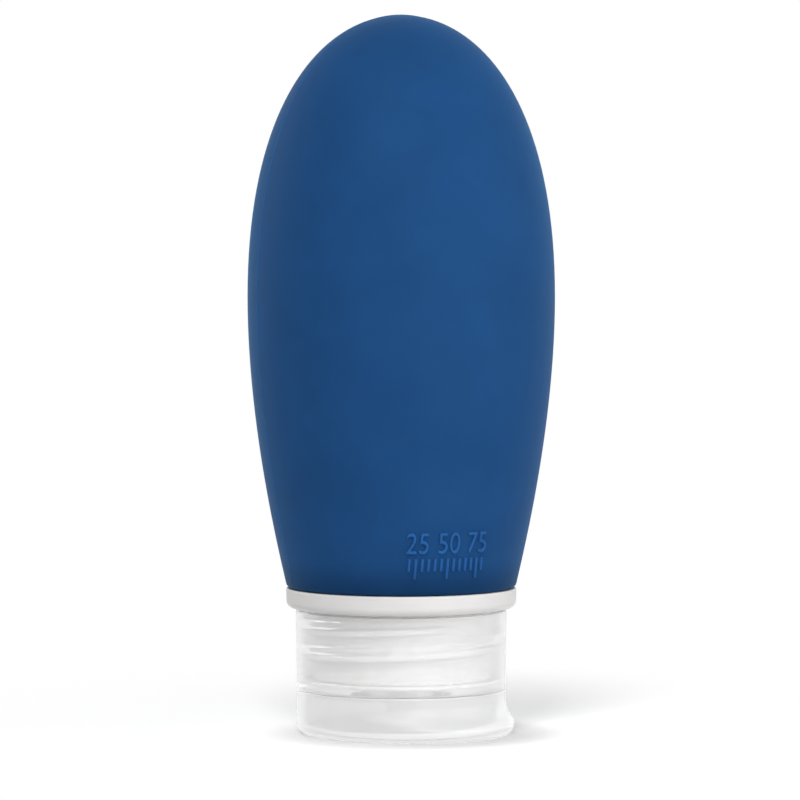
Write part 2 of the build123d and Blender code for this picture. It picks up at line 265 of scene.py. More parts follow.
class SealSettings(bpy.types.PropertyGroup):
    """The gasket, the drip valve and its retainer."""

    gasket_width: mm("Gasket width", "Width of the gasket's ring", 3.8)
    edge: mm("Edge rounding", "Rounding of the soft edges", 0.15)
    flange: mm("Valve flange", "Thickness of the valve's flange", 1.0)
    flange_width: mm("Valve flange width", "Width of the valve's flange", 1.7)
    membrane: mm("Membrane", "Thickness of the valve's membrane", 0.5)
    membrane_rise: mm("Membrane rise", "How far the membrane domes inwards", 1.3)
    slit_length: mm("Slit length", "Length of each arm of the cross slit", 4.2)
    slit_width: mm("Slit width", "Width of the slit as drawn", 0.12)
    retainer_width: mm("Retainer width", "Width of the retainer's ring", 1.6)
    retainer_chamfer: mm("Retainer rounding", "Rounding of the retainer's upper edges", 0.3)
    colour: tint("Seal colour", "Colour of the natural silicone", "#E9EAE8")


class StageSettings(bpy.types.PropertyGroup):
    """The camera, the lamps and the floor."""

    azimuth: degrees("Azimuth", "Direction that the camera looks in, from +Y towards -X", -22)
    distance: mm("Distance", "Distance of the camera from the bottle's axis", 900)
    height: mm("Height", "Height of the camera", 100)
    aim_height: mm("Aim height", "Height of the point that the camera looks at", 52.7)
    aim_shift: mm("Aim shift", "How far to the right of the axis the camera looks", -0.2)
    lens: bpy.props.FloatProperty(
        name="Lens", description="Focal length on a sensor 36 mm wide", default=256.7, unit="CAMERA"
    )
    side_power: watts("Side lamp", "Power of the large low lamp at the right", 3.8)
    front_power: watts("Front lamp", "Power of the raised lamp at the front that throws the shadow", 6.4)
    fill_power: watts("Fill lamp", "Power of the large lamp at the right of the camera", 4.0)
    rim_power: watts("Rim lamp", "Power of the lamp behind at the left, which lifts the left rim", 1.2)
    surround: fraction("Surround", "Strength of the even light from all around", 0.187)
    reflected: fraction("Reflected surround", "Brightness of the surround in reflections", 0.95)
    floor_fill: fraction("Floor fill", "Glow that lifts the floor to white for the camera", 0.475)
    contact: mm("Contact shadow", "Width of the soft dark line where the bottle stands on the floor", 10)
    floor_near: mm("Shadow zone", "Distance up to which the floor takes the bottle's shadow in full", 35)
    floor_far: mm("White zone", "Distance from the bottle at which the floor is plain white", 115)


def soft_least(first, second, width):
    """The smaller of two values, blended over a width where they cross."""
    share = min(max(0.5 + 0.5 * (second - first) / width, 0), 1)
    return second + (first - second) * share - width * share * (1 - share)


def rounded(corners, closed=True):
    """Points along straight runs between (radius, height, rounding) corners, each rounded by an arc."""
    points = []
    for i, (x, y, rounding) in enumerate(corners):
        corner = Vector((x, y))
        at_end = not closed and i in (0, len(corners) - 1)
        if rounding == 0 or at_end:
            points.append(corner)
            continue
        back = Vector(corners[i - 1][:2]) - corner
        ahead = Vector(corners[(i + 1) % len(corners)][:2]) - corner
        half = back.angle(ahead) / 2
        reach = min(rounding / tan(half), back.length / 2, ahead.length / 2)
        centre = corner + (back.normalized() + ahead.normalized()).normalized() * reach / cos(half)
        start = corner + back.normalized() * reach - centre
        end = corner + ahead.normalized() * reach - centre
        shares = [step / CORNER_STEPS for step in range(CORNER_STEPS + 1)]
        points += [centre + start.slerp(end, share) * start.length for share in shares]
    return points


def join_rows(mesh, rows, closed):
    """Adds the faces between each row of vertices and the next, all round where the rows are closed."""
    for here, there in zip(rows, rows[1:]):
        for i in range(len(here) if closed else len(here) - 1):
            j = (i + 1) % len(here)
            mesh.faces.new((here[i], there[i], there[j], here[j]))


def add_turn(mesh, outline_at, closed):
    """Adds the surface that an outline leaves on a full turn about the bottle's axis."""
    rings = []
    for column in range(TURN_COLUMNS):
        angle = 2 * pi * column / TURN_COLUMNS
        rings.append([mesh.verts.new((r * cos(angle), r * sin(angle), z)) for r, z in outline_at(angle)])
    join_rows(mesh, rings + rings[:1], closed)


def add_threaded_wall(mesh, radius, height, start, rise, low, high, thread):
    """Adds a cylinder from low to high whose rows of faces climb with the thread's ridge.

    The ridge's middle is at the height start where the angle is zero. Its height is negative
    where it stands inwards.
    """
    flat, base, crest = thread.pitch / 2, thread.base / 2, thread.crest / 2
    foot = [(base, 0, thread.edge), (flat, 0, 0)]
    top = [(-crest, abs(height), thread.edge), (crest, abs(height), thread.edge)]
    ridge = rounded([(-flat, 0, 0), (-base, 0, thread.edge)] + top + foot, closed=False)[:-1]
    turns = rise / thread.pitch
    # Spare windings at both ends are pressed flat onto the wall's two edges
    spare = 2
    first = int((low - start) / thread.pitch) - spare
    last = int((high - start) / thread.pitch) + spare
    columns = []
    for column in range(TURN_COLUMNS + 1):
        share = column / TURN_COLUMNS
        angle = 2 * pi * share
        rows = []
        for winding in range(first, last + 1):
            done = winding + share
            fade = min(max(min(done, turns - done) / thread.fade, 0), 1)
            fade = fade * fade * (3 - 2 * fade)
            for offset, out in ridge:
                z = start + thread.pitch * done + offset
                r = radius + (out if height > 0 else -out) * fade
                if not low < z < high:
                    z = min(max(z, low), high)
                    r = radius
                rows.append(mesh.verts.new((r * cos(angle), r * sin(angle), z)))
        columns.append(rows)
    join_rows(mesh, columns, closed=False)


def make_object(name, mesh):
    """A smooth-shaded object from a bmesh, welded and facing outwards, in place of any older one."""
    bmesh.ops.remove_doubles(mesh, verts=mesh.verts, dist=WELD)
    bmesh.ops.dissolve_degenerate(mesh, dist=WELD, edges=mesh.edges)
    bmesh.ops.recalc_face_normals(mesh, faces=mesh.faces)
    old = bpy.data.objects.get(name)
    if old is not None:
        bpy.data.objects.remove(old)
    data = bpy.data.meshes.new(name)
    mesh.to_mesh(data)
    mesh.free()
    data.shade_smooth()
    made = bpy.data.objects.new(name, data)
    bpy.context.scene.collection.objects.link(made)
    return made


def turned(name, corners, closed=True, ridge=None):
    """A piece turned about the bottle's axis from its corners, and from a threaded wall if it has one."""
    outline = rounded(corners, closed)
    mesh = bmesh.new()
    add_turn(mesh, lambda angle: outline, closed)
    if ridge is not None:
        add_threaded_wall(mesh, *ridge)
    return make_object(name, mesh)


def bake(piece):
    """Applies a piece's modifiers to its mesh."""
    evaluated = piece.evaluated_get(bpy.context.evaluated_depsgraph_get())
    data = bpy.data.meshes.new_from_object(evaluated)
    piece.modifiers.clear()
    piece.data = data
    data.shade_smooth()


def combine(piece, tool, operation):
    """Joins a tool's shape to a piece or cuts it away, and deletes the tool."""
    modifier = piece.modifiers.new("combine", "BOOLEAN")
    modifier.operation = operation
    modifier.solver = "EXACT"
    modifier.object = tool
    bake(piece)
    bpy.data.objects.remove(tool)


def shape_hinge(piece, operation, outline, start, end):
    """Joins or cuts an outline in the plane across the hinge, drawn out along the hinge's axis."""
    mesh = bmesh.new()
    rows = []
    for side in (start, end):
        place = HINGE_ORIGIN + HINGE_AXIS * side
        rows.append([mesh.verts.new(place + LIP_DIRECTION * x + Vector((0, 0, z))) for x, z in outline])
        mesh.faces.new(rows[-1])
    join_rows(mesh, rows, closed=True)
    combine(piece, make_object("hinge_tool", mesh), operation)


def arc(radius, end):
    """Points on a circle about the hinge's axis, from the level of the axis to an end angle."""
    angles = [end * step / CIRCLE_STEPS for step in range(CIRCLE_STEPS + 1)]
    return [(radius * cos(angle), radius * sin(angle)) for angle in angles]


def circle(radius):
    """Points all round a circle about the hinge's axis."""
    return arc(radius, 2 * pi)[:-1]


def dress(piece, body, slot, material, *nodes):
    """Gives a finished piece its material, the body it rides on and the nodes it stands for."""
    piece.modifiers.new("even normals", "WEIGHTED_NORMAL").keep_sharp = True
    piece.data.materials.clear()
    piece.data.materials.append(material)
    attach(piece, body)
    if nodes:
        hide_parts(*nodes)


def new_material(name):
    """An empty node material, its tree and the place on the surface that its patterns follow."""
    material = bpy.data.materials.get(name) or bpy.data.materials.new(name)
    material.use_nodes = True
    tree = material.node_tree
    tree.nodes.clear()
    return material, tree, add_node(tree, "TexCoord").outputs["Object"]


def add_node(tree, kind, inputs=None, **settings):
    """Adds a shader node. An input is a value, or the socket or the node's first output that feeds it."""
    node = tree.nodes.new("ShaderNode" + kind)
    for name, value in settings.items():
        setattr(node, name, value)
    for name, value in (inputs or {}).items():
        if isinstance(value, bpy.types.Node):
            value = value.outputs[0]
        if isinstance(value, bpy.types.NodeSocket):
            tree.links.new(value, node.inputs[name])
        else:
            node.inputs[name].default_value = value
    return node


def pattern(millimetres):
    """The scale at which a pattern's features are this many millimetres across."""
    return 1 / (millimetres * MM)


def moulded_silicone(bottle, name="moulded_silicone", lift=1.0):
    """Pigmented silicone from a bead-blasted mould: a soft matte skin with pale, dusty rims, painted shade
    towards the foot, and its colour lifted by lift as a painted highlight.
    """
    material, tree, place = new_material(name)
    # Pigment and cure vary a little over a few millimetres, which keeps the wide flank from looking flat
    clouds = {"Vector": place, "Scale": pattern(9), "Detail": 3.0, "Roughness": 0.55}
    cloud = add_node(tree, "TexNoise", clouds)
    tone = add_node(tree, "ValToRGB", {"Fac": cloud})
    # A lift above one makes a lighter copy of the silicone colour, a painted highlight for raised pieces
    for element, position, shade in zip(tone.color_ramp.elements, (0.3, 0.7), (0.94, 1.06)):
        element.position = position
        element.color = [channel * lift * shade for channel in bottle.colour[:3]] + [1.0]
    # Painted shade: the colour darkens smoothly over the lowest few millimetres, down to the foot
    height = add_node(tree, "SeparateXYZ", {"Vector": place}).outputs["Z"]
    foot = body_heights(bottle)[0]
    depth = {"Value": height, "From Min": foot, "From Max": foot + bottle.foot_shade_height, "To Min": 0.55}
    foot_shade = add_node(tree, "MapRange", depth, interpolation_type="SMOOTHSTEP")
    tone_and_foot_shade = add_node(tree, "VectorMath", {0: tone, "Scale": foot_shade}, operation="SCALE")
    # Bead blasting leaves a grain of about 0.05 mm, drawn four times as coarse so that it shows
    blasting = {"Vector": place, "Scale": pattern(0.2), "Detail": 2.0, "Roughness": 0.6}
    grain = add_node(tree, "TexNoise", blasting)
    # Handling leaves faint smoother patches a few millimetres wide
    wear = add_node(tree, "MapRange", {"Value": cloud, "To Min": 0.48, "To Max": 0.6})
    # The blasted skin hardly shines, and turns a pale blue where it is seen at a slant
    skin = {
        "Base Color": tone_and_foot_shade,
        "Roughness": wear,
        "Normal": add_node(tree, "Bump", {"Height": grain, "Strength": 0.35, "Distance": 0.012 * MM}),
        "IOR": 1.41,
        "Specular IOR Level": 0.08,
        "Specular Tint": linear("#74B8F0"),
        "Sheen Weight": 0.16,
        "Sheen Roughness": 0.45,
        "Sheen Tint": linear("#34B8FF"),
    }
    add_node(tree, "OutputMaterial", {"Surface": add_node(tree, "BsdfPrincipled", skin)})
    return material


def moulded_polypropylene(name, colour):
    """Injection-moulded white polypropylene: slightly waxy, and satin from a lightly textured tool."""
    material, tree, place = new_material(name)
    # Sparked tool texture of about 0.03 mm, drawn as coarse as 0.15 mm so that it shows
    grain = add_node(tree, "TexNoise", {"Vector": place, "Scale": pattern(0.15), "Detail": 2.0})
    # Flow in the mould leaves clouds a few millimetres wide in the shine
    flows = {"Vector": place, "Scale": pattern(5), "Detail": 2.0, "Distortion": 0.6}
    flow = add_node(tree, "TexNoise", flows)
    skin = {
        "Base Color": colour,
        "Roughness": add_node(tree, "MapRange", {"Value": flow, "To Min": 0.3, "To Max": 0.42}),
        "Normal": add_node(tree, "Bump", {"Height": grain, "Strength": 0.2, "Distance": 0.008 * MM}),
        "IOR": 1.49,
        "Subsurface Weight": 0.15,
        "Subsurface Radius": (1.2, 1.1, 1.0),
        "Subsurface Scale": 0.6 * MM,
    }
    add_node(tree, "OutputMaterial", {"Surface": add_node(tree, "BsdfPrincipled", skin)})
    return material


def clarified_polypropylene(cap):
    """Clarified polypropylene, injection moulded: see-through but milky, so what lies deeper blurs away."""
    material, tree, place = new_material("clarified_polypropylene")
    # The melt freezes in long shallow waves round the part, some 3 mm apart
    freezing = {"Vector": place, "Scale": pattern(3), "Detail": 1.0, "Distortion": 0.4}
    waves = add_node(tree, "TexNoise", freezing)
    # Crystals in the plastic haze it unevenly
    haze = add_node(tree, "MapRange", {"Value": waves, "To Min": 0.1, "To Max": 0.2})
    # Thin walls bend light less than a solid block would, so the IOR is low, and the coat gives the
    # shine of the plastic's real 1.5
    skin = {
        "Base Color": cap.colour,
        "Roughness": haze,
        "Normal": add_node(tree, "Bump", {"Height": waves, "Strength": 0.25, "Distance": 0.02 * MM}),
        "IOR": 1.12,
        "Transmission Weight": 1.0,
        "Coat Weight": 1.0,
        "Coat Roughness": 0.14,
        "Coat IOR": 1.5,
    }
    clear = add_node(tree, "BsdfPrincipled", skin)
    # The crystals send a tenth of the milky light on and nine tenths back
    onward = add_node(tree, "BsdfTranslucent", {"Color": cap.milk_colour})
    back = add_node(tree, "BsdfAnisotropic", {"Color": cap.milk_colour, "Roughness": 0.75})
    milk = add_node(tree, "MixShader", {0: 0.9, 1: onward, 2: back})
    # Light is made milky once, as it enters, and then runs clear inside the wall
    inside = add_node(tree, "NewGeometry").outputs["Backfacing"]
    share = add_node(tree, "MapRange", {"Value": inside, "To Min": cap.milk, "To Max": 0.0})
    hazy = add_node(tree, "MixShader", {0: share, 1: clear, 2: milk})
    # Thin clear walls hold back little light, so lamps shine through, and light that has crossed
    # more surfaces than this goes straight on instead of dying between them
    most_surfaces = 5
    path = add_node(tree, "LightPath").outputs
    lamplight = path["Is Shadow Ray"]
    passed = add_node(tree, "MapRange", {"Value": lamplight, "To Min": 1.0, "To Max": cap.lamp_share})
    open_way = add_node(tree, "BsdfTransparent", {"Color": passed})
    deep = add_node(tree, "Math", {0: path["Ray Depth"], 1: most_surfaces}, operation="GREATER_THAN")
    straight = add_node(tree, "Math", {0: lamplight, 1: deep}, operation="MAXIMUM")
    surface = add_node(tree, "MixShader", {0: straight, 1: hazy, 2: open_way})
    add_node(tree, "OutputMaterial", {"Surface": surface})
    return material


def natural_silicone(colour):
    """Unpigmented moulded silicone: milky and soft-looking, with a matte skin."""
    material, tree, place = new_material("natural_silicone")
    # The same blasted grain of about 0.05 mm, drawn four times as coarse so that it shows
    grain = add_node(tree, "TexNoise", {"Vector": place, "Scale": pattern(0.2), "Detail": 2.0})
    skin = {
        "Base Color": colour,
        "Roughness": add_node(tree, "MapRange", {"Value": grain, "To Min": 0.4, "To Max": 0.52}),
        "Normal": add_node(tree, "Bump", {"Height": grain, "Strength": 0.2, "Distance": 0.01 * MM}),
        "IOR": 1.41,
        "Subsurface Weight": 0.4,
        "Subsurface Radius": (1.0, 1.0, 0.9),
        "Subsurface Scale": 1.5 * MM,
    }
    add_node(tree, "OutputMaterial", {"Surface": add_node(tree, "BsdfPrincipled", skin)})
    return material


def body_heights(bottle):
    """Heights of the silicone body's foot, its widest place and its top."""
    foot = COLLAR_HIGH.z + bottle.foot_gap
    top = BODY_HIGH.z - PACKED_RIDGE
    return foot, foot + bottle.widest_share * (top - foot), top


def body_line(bottle, outset=0):
    """The silicone body's outline from its foot to the top, grown by outset."""
    foot_z, widest_z, top_z = body_heights(bottle)
    top = top_z + outset
    side = bottle.radius + outset
    foot = COLLAR_HIGH.x - bottle.mouth_inset + outset
    lean, pull = bottle.foot_lean, bottle.foot_pull
    flank = interpolate_bezier(
        Vector((foot, foot_z)),
        Vector((foot + pull * sin(lean), foot_z + pull * cos(lean))),
        Vector((side, widest_z - bottle.flank_share * (widest_z - foot_z))),
        Vector((side, widest_z)),
        CURVE_STEPS,
    )
    dome = interpolate_bezier(
        Vector((side, widest_z)),
        Vector((side, widest_z + bottle.dome_side_share * (top - widest_z))),
        Vector((bottle.dome_top_share * side, top)),
        Vector((0, top)),
        CURVE_STEPS,
    )
    return flank + dome[1:]


def flange_heights(neck):
    """Heights of the neck flange's two faces."""
    low = NECK_HIGH.z - neck.insert_height - neck.flange_thickness
    return low, low + neck.flange_thickness


def barbs(neck, root, low):
    """Corners up the barbed end: each barb is square below and slopes away above."""
    corners = []
    fine = neck.edge / 3
    for barb in range(neck.barb_count):
        foot = low + neck.barb_start + barb * neck.barb_pitch
        corners += [(root, foot, fine), (root + neck.barb_height, foot, neck.edge)]
        corners.append((root, foot + neck.barb_slope, fine))
    return corners


def neck_ridge(thread):
    """Where the neck's ridge starts and how far it rises."""
    start = NECK_LOW.z + thread.start
    return start, COLLAR_LOW.z - thread.neck_land - thread.base / 2 - start


def cap_bore(neck, thread):
    """Radius of the cap's bore, which clears the neck's ridge."""
    return neck.bore + neck.wall + thread.height + thread.clearance


def cap_ridge(neck, thread):
    """Where the cap's ridge starts beside the neck's, how far it rises and how high it stands."""
    start = neck_ridge(thread)[0] + (thread.base + thread.crest) / 2 + thread.flank_gap
    rise = CAP_HIGH.z - thread.cap_land - thread.base / 2 - start
    return start, rise, cap_bore(neck, thread) - (neck.bore + neck.wall) - thread.crest_gap


class OBJECT_OT_silicone_bottle(bpy.types.Operator):
    """Makes the soft bottle with its thick neck"""

    bl_idname = "object.silicone_bottle"
    bl_label = "Silicone Bottle"

    def execute(self, context):
        bottle = context.scene.bottle_settings
        neck = context.scene.bottle_neck
        foot_z = body_heights(bottle)[0]
        flange_top = flange_heights(neck)[1]
        bore = neck.bore + neck.wall + bottle.fit
        bore_top = NECK_HIGH.z + bottle.neck_cover
        cuff = COLLAR_HIGH.x - neck.collar_wall - bottle.cuff_gap
        mouth = COLLAR_HIGH.x - bottle.mouth_inset
        # The hollow opens over a shoulder that rises from the thick neck to the thin wall
        shoulder_z = bore_top + bottle.radius / 5
        above_foot = foot_z + 2 * bottle.foot_edge
        outside = [(r, z, 0) for r, z in reversed(body_line(bottle)) if z > above_foot]
        inside = [(r, z, 0) for r, z in body_line(bottle, -bottle.wall) if z > shoulder_z]
        foot = [
            (mouth, foot_z, bottle.foot_edge), (cuff, foot_z, neck.edge),
            (cuff, flange_top, neck.edge), (bore, flange_top, neck.edge),
            *barbs(neck, bore, flange_top),
            (bore, bore_top, bottle.wall), (inside[0][0], shoulder_z, bottle.wall),
        ]
        piece = turned("squeeze_bottle", outside + foot + inside, closed=False)
        dress(piece, "bottle", "silicone_body", moulded_silicone(bottle), "bottle_body")
        return {"FINISHED"}


class OBJECT_OT_parting_line(bpy.types.Operator):
    """Makes the fine raised line that the mould's two halves leave on the silicone"""

    bl_idname = "object.parting_line"
    bl_label = "Parting Line"

    def execute(self, context):
        bottle = context.scene.bottle_settings
        foot_z = body_heights(bottle)[0]
        half = [p for p in body_line(bottle) if p.y > foot_z + bottle.foot_edge]
        line = half + [Vector((-p.x, p.y)) for p in reversed(half[:-1])]
        # The line is low and rounded, and its foot is sunk into the silicone
        width, height = bottle.seam_width / 2, bottle.seam_height
        section = [(-width, -height), (-width * 0.8, 0), (-width * 0.4, height * 0.8), (0, height)]
        section += [(-across, out) for across, out in reversed(section[:-1])]
        mesh = bmesh.new()
        rows = []
        for i, point in enumerate(line):
            along = (line[min(i + 1, len(line) - 1)] - line[max(i - 1, 0)]).normalized()
            out = Vector((along.y, 0, -along.x))
            place = Vector((point.x, 0, point.y))
            spots = [place + out * rise + Vector((0, across, 0)) for across, rise in section]
            rows.append([mesh.verts.new(spot) for spot in spots])
        join_rows(mesh, rows, closed=True)
        mesh.faces.new(rows[0])
        mesh.faces.new(rows[-1])
        piece = make_object("parting_line", mesh)
        # The parting line is coloured lighter than the body, a painted highlight along the ridge
        dress(piece, "bottle", "silicone_body", moulded_silicone(bottle, "parting_line_silicone", PAINTED_HIGHLIGHT))
        return {"FINISHED"}


class OBJECT_OT_raised_mark(bpy.types.Operator):
    """Makes the raised numerals and graduation ticks on the front of the silicone"""

    bl_idname = "object.raised_mark"
    bl_label = "Raised Mark"

    def execute(self, context):
        bottle = context.scene.bottle_settings
        mesh = bmesh.new()
        self.add_numerals(context, mesh, bottle)
        self.add_ticks(mesh, bottle)
        piece = make_object("raised_mark", mesh)
        # Remeshing and smoothing give the soft edges that moulded silicone has
        voxels = piece.modifiers.new("soften", "REMESH")
        voxels.mode = "VOXEL"
        voxels.voxel_size = MARK_VOXEL
        piece.modifiers.new("smooth", "SMOOTH").iterations = 3
        bake(piece)
        self.lay_on_flank(piece, bottle)
        # The mark is coloured lighter than the body, a painted highlight on its raised numerals and ticks
        dress(piece, "bottle", "silicone_body", moulded_silicone(bottle, "painted_highlight_silicone", PAINTED_HIGHLIGHT))
        return {"FINISHED"}

    def add_numerals(self, context, mesh, bottle):
        """The row of numerals, flat, as wide and as high as the settings give."""
        text = bpy.data.curves.new("raised_numerals", "FONT")
        text.body = bottle.numerals
        text.align_x = "CENTER"
        text.extrude = bottle.mark_relief
        letters = bpy.data.objects.new("raised_numerals", text)
        context.scene.collection.objects.link(letters)
        context.view_layer.update()
        wide = bottle.mark_width / letters.dimensions.x
        tall = bottle.mark_height / letters.dimensions.y
        flat = bpy.data.meshes.new_from_object(letters)
        flat.transform(Matrix.Diagonal((wide, tall, 1, 1)))
        flat.transform(Matrix.Translation((0, bottle.tick_width, 0)))
        mesh.from_mesh(flat)
        bpy.data.objects.remove(letters)

    def add_ticks(self, mesh, bottle):
        """Graduation ticks that hang under the numerals, with a long one under the middle of each."""
        long_tick = 1.6
        # A numeral takes two digits and a space of the row
        numeral_step = bottle.mark_width * 3 / len(bottle.numerals)
        spacing = numeral_step / bottle.tick_count
        for tick in range(-bottle.tick_count - 1, bottle.tick_count + 2):
            length = bottle.tick_height * (long_tick if tick % bottle.tick_count == 0 else 1)
            place = Matrix.Translation((tick * spacing, -bottle.tick_width - length / 2, 0))
            size = Matrix.Diagonal((bottle.tick_width, length, 2 * bottle.mark_relief, 1))
            bmesh.ops.create_cube(mesh, size=1, matrix=place @ size)

    def lay_on_flank(self, piece, bottle):
        """Bends the flat mark round the body, half of its thickness sunk into the silicone."""
        line = body_line(bottle)
        middle = body_heights(bottle)[0] + bottle.mark_rise
        for vertex in piece.data.vertices:
            across, up, out = vertex.co
            height = middle + up
            above = next(i for i, p in enumerate(line) if p.y > height)
            low, high = line[above - 1], line[above]
            share = (height - low.y) / (high.y - low.y)
            radius = low.x + share * (high.x - low.x)
            normal = Vector((high.y - low.y, low.x - high.x)).normalized()
            angle = bottle.mark_angle + across / radius
            radius += normal.x * out
            vertex.co = (radius * cos(angle), radius * sin(angle), height + normal.y * out)


class OBJECT_OT_neck_insert(bpy.types.Operator):
    """Makes the white threaded neck with its flange and barbed end"""

    bl_idname = "object.neck_insert"
    bl_label = "Neck Insert"

    def execute(self, context):
        neck = context.scene.bottle_neck
        thread = context.scene.bottle_thread
        root, rim, edge = neck.bore + neck.wall, neck.rim_round, neck.edge
        flange_low, flange_top = flange_heights(neck)
        low, high = NECK_LOW.z + rim, flange_low - edge
        corners = [
            (root, high, 0), (root, flange_low, edge), (NECK_HIGH.x, flange_low, edge),
            (NECK_HIGH.x, flange_top, edge), (root, flange_top, edge),
            *barbs(neck, root, flange_top),
            (root, NECK_HIGH.z, edge), (neck.bore, NECK_HIGH.z, edge),
            (neck.bore, NECK_LOW.z, rim), (root, NECK_LOW.z, rim), (root, low, 0),
        ]
        ridge = (root, thread.height, *neck_ridge(thread), low, high, thread)
        piece = turned("threaded_neck", corners, closed=False, ridge=ridge)
        material = moulded_polypropylene("natural_polypropylene", neck.colour)
        dress(piece, "bottle", "neck_plastic", material, "neck_insert")
        return {"FINISHED"}


class OBJECT_OT_collar_ring(bpy.types.Operator):
    """Makes the white collar ring with its rounded lower edge"""

    bl_idname = "object.collar_ring"
    bl_label = "Collar Ring"

    def execute(self, context):
        neck = context.scene.bottle_neck
        outer = COLLAR_HIGH.x
        bore = outer - neck.collar_wall
        lip = bore - neck.collar_lip_width
        low, high = COLLAR_LOW.z, COLLAR_HIGH.z
        lip_top = low + neck.collar_lip
        corners = [
            (outer, low, neck.collar_corner), (outer, high, neck.collar_edge),
            (bore, high, neck.collar_edge), (bore, lip_top, neck.edge),
            (lip, lip_top, neck.edge), (lip, low, neck.edge),
        ]
        material = moulded_polypropylene("white_polypropylene", neck.collar_colour)
        dress(turned("collar_band", corners), "collar", "collar_plastic", material, "collar_ring")
        return {"FINISHED"}


class OBJECT_OT_screw_cap(bpy.types.Operator):
    """Makes the clear screw cap with its thread, outlet, valve pocket and hinge ears"""

    bl_idname = "object.screw_cap"
    bl_label = "Screw Cap"

    def execute(self, context):
        cap = context.scene.bottle_cap
        lid = context.scene.bottle_lid
        neck = context.scene.bottle_neck
        thread = context.scene.bottle_thread
        bore = cap_bore(neck, thread)
        start, rise, height = cap_ridge(neck, thread)
        outer = bore + cap.wall
        base = CAP_LOW.z + cap.nozzle_length
        deck = base + cap.deck
        spigot = outer - lid.inset - lid.wall - cap.spigot_clearance
        spigot_low = base - cap.spigot_depth
        spigot_bore = spigot - cap.spigot_wall
        outlet = cap.outlet_radius
        nozzle = outlet + cap.nozzle_wall
        pocket = VALVE_HIGH.x + cap.pocket_clearance
        pocket_outer = pocket + cap.pocket_wall
        snap_low = RETAINER_HIGH.z + cap.snap_gap
        snap_top = snap_low + cap.snap_height
        low, high = deck + cap.edge, CAP_HIGH.z - cap.edge
        fine = cap.fine_edge
        # Two close corners above the ears keep the cuts for the hinge out of the wall's shading
        ear_top = HINGE_ORIGIN.z + lid.ear_rise + fine
        slope = cap.draft / (CAP_HIGH.z - base)
        corners = [
            (bore, high, 0), (bore, CAP_HIGH.z, cap.edge), (outer, CAP_HIGH.z, cap.edge),
            (outer - slope * (CAP_HIGH.z - ear_top - fine), ear_top + fine, 0),
            (outer - slope * (CAP_HIGH.z - ear_top), ear_top, 0), (outer - cap.draft, base, fine),
            (spigot, base, fine), (spigot, spigot_low, fine),
            (spigot_bore, spigot_low, fine), (spigot_bore, base, fine),
            (nozzle, base, fine), (nozzle, CAP_LOW.z, fine), (outlet, CAP_LOW.z, fine), (outlet, deck, fine),
            (pocket, deck, fine), (pocket, snap_low, fine / 3),
            (pocket - cap.snap_depth, (snap_low + snap_top) / 2, fine / 2), (pocket, snap_top, fine / 3),
            (pocket_outer, snap_top, fine), (pocket_outer, deck, fine), (bore, deck, fine), (bore, low, 0),
        ]
        ridge = (bore, -height, start, rise, low, high, thread)
        piece = turned("clear_screw_cap", corners, closed=False, ridge=ridge)
        ear_start = lid.knuckle_width / 2 + lid.ear_gap
        ear_end = ear_start + lid.ear_width
        notch = circle(lid.barrel_radius + lid.barrel_clearance)
        shape_hinge(piece, "DIFFERENCE", notch, -ear_start, ear_start)
        # Each ear's web is rooted in the skirt's wall, and stays above the hinge's axis
        root, web_low = HINGE_REACH - outer + cap.wall / 2, 0.01 * MM
        ear = arc(lid.barrel_radius, -pi - lid.web_angle) + [(root, lid.ear_rise), (root, web_low)]
        for side in (-1, 1):
            shape_hinge(piece, "UNION", ear, side * ear_start, side * ear_end)
        pin = circle(lid.pin_radius + lid.pin_clearance)
        shape_hinge(piece, "DIFFERENCE", pin, -2 * ear_end, 2 * ear_end)
        dress(piece, "cap", "cap_clear", clarified_polypropylene(cap), "screw_cap")
        return {"FINISHED"}


